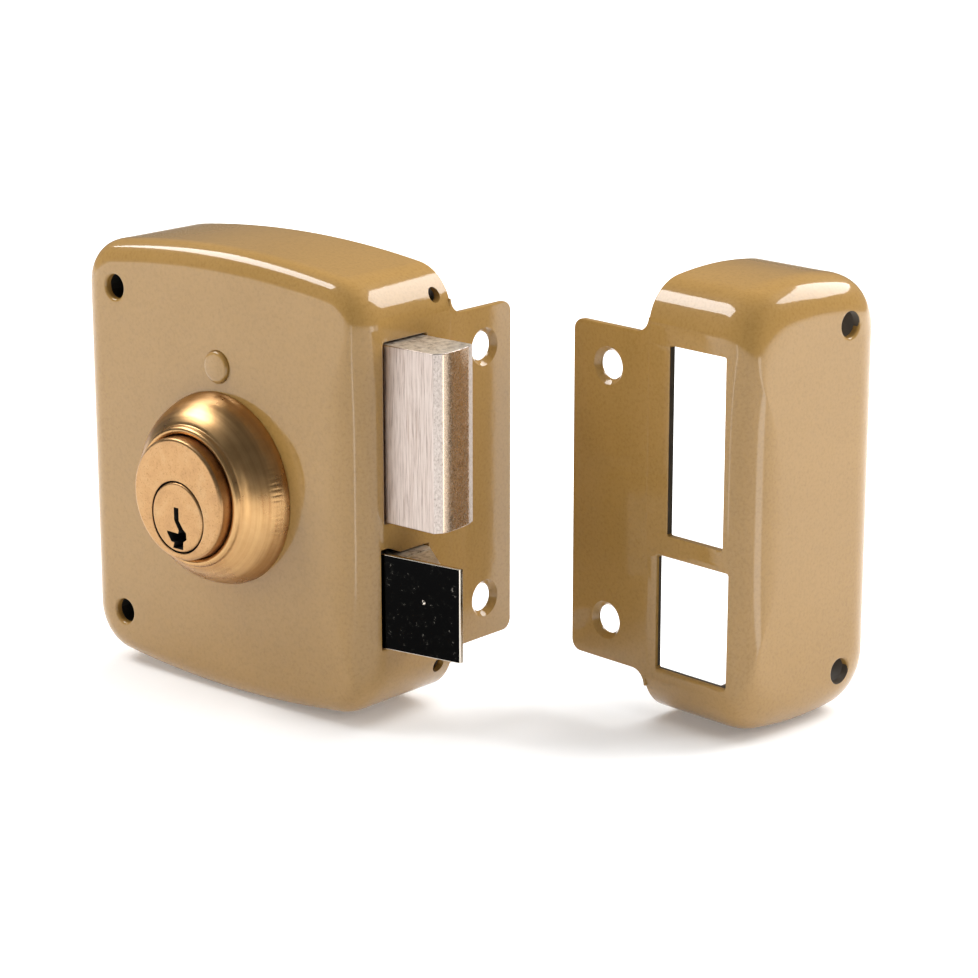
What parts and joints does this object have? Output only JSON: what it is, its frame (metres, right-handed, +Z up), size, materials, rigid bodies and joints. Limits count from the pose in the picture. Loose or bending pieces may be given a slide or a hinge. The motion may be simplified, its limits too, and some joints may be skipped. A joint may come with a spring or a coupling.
{
  "type": "rim night latch",
  "caption": "Surface-mounted door lock with a keyed cylinder, dead bolt and sprung latch, with its open-backed keep beside it",
  "frame": {"origin": "bottom centre of the set's bounding box, on the surface that the lock and keep stand on", "axes": "-Y towards the front of the lock, with the key's face; +X the way the bolts are thrown; +Z up"},
  "size_m": [0.1484, 0.099, 0.0958],
  "materials": {
    "enamel": "glossy gold-beige baked enamel",
    "brass": "turned and polished brass, lightly tarnished",
    "bolt_nickel": "brushed nickel",
    "mirror_nickel": "bright nickel",
    "zinc_steel": "bright zinc plate",
    "spring_steel": "oiled spring steel"
  },
  "bodies": {
    "case": {"case_cover": "enamel", "back_plate": "zinc_steel", "screw_sleeve_upper": "zinc_steel", "screw_sleeve_lower": "zinc_steel", "front_pillar": "enamel", "pillar_screw": "zinc_steel", "bolt_guide_upper": "zinc_steel", "bolt_guide_middle": "zinc_steel", "bolt_guide_lower": "zinc_steel", "lever_post": "zinc_steel", "gear_axle": "zinc_steel", "spring_seat": "zinc_steel", "cylinder_rosette": "brass", "cylinder_body": "brass", "cylinder_stud_left": "zinc_steel", "cylinder_nut_left": "zinc_steel", "cylinder_stud_right": "zinc_steel", "cylinder_nut_right": "zinc_steel", "keep_shell": "enamel", "driver_pin_1": "brass", "pin_spring_1": "spring_steel", "driver_pin_2": "brass", "pin_spring_2": "spring_steel", "driver_pin_3": "brass", "pin_spring_3": "spring_steel", "driver_pin_4": "brass", "pin_spring_4": "spring_steel", "driver_pin_5": "brass", "pin_spring_5": "spring_steel"},
    "plug": {"cylinder_plug": "brass", "plug_retaining_clip": "spring_steel", "plug_pinion": "zinc_steel", "key_pin_1": "brass", "key_pin_2": "brass", "key_pin_3": "brass", "key_pin_4": "brass", "key_pin_5": "brass"},
    "reduction_gear": {"reduction_gear": "zinc_steel"},
    "dead_bolt": {"dead_bolt_head": "bolt_nickel", "dead_bolt_tail": "zinc_steel", "tail_rivet_lower": "zinc_steel", "tail_rivet_upper": "zinc_steel"},
    "latch": {"latch_head": "bolt_nickel", "latch_face_plate": "mirror_nickel", "latch_tail": "zinc_steel", "latch_spring": "spring_steel"},
    "latch_lever": {"latch_lever": "zinc_steel", "lever_pin": "zinc_steel"}
  },
  "joints": [
    {"name": "plug_turn", "type": "hinge", "parent": "case", "child": "plug", "pos_m": [-0.03317, -0.02979, 0.0415], "axis": [0, -1, 0], "range_deg": [-360, 360]},
    {"name": "reduction_gear_spin", "type": "hinge", "parent": "case", "child": "reduction_gear", "pos_m": [-0.03317, -0.01379, 0.05344], "axis": [0, -1, 0], "range_deg": [-180, 180]},
    {"name": "dead_bolt_slide", "type": "slide", "parent": "case", "child": "dead_bolt", "axis": [1, 0, 0], "range_m": [-0.0125, 0.0125]},
    {"name": "latch_slide", "type": "slide", "parent": "case", "child": "latch", "axis": [1, 0, 0], "range_m": [-0.0175, 0], "stiffness_N_per_m": 350, "springref_m": 0.012, "deforming": ["latch_spring"]},
    {"name": "latch_lever_swing", "type": "hinge", "parent": "case", "child": "latch_lever", "pos_m": [-0.05457, -0.01939, 0.0844], "axis": [0, 1, 0], "range_deg": [0, 17]}
  ],
  "couplings": [
    {"joint": "plug_turn", "follows": "dead_bolt_slide", "rad_per_m": 502.65},
    {"joint": "reduction_gear_spin", "follows": "dead_bolt_slide", "rad_per_m": -251.32},
    {"joint": "latch_lever_swing", "follows": "latch_slide", "rad_per_m": -16.826}
  ]
}
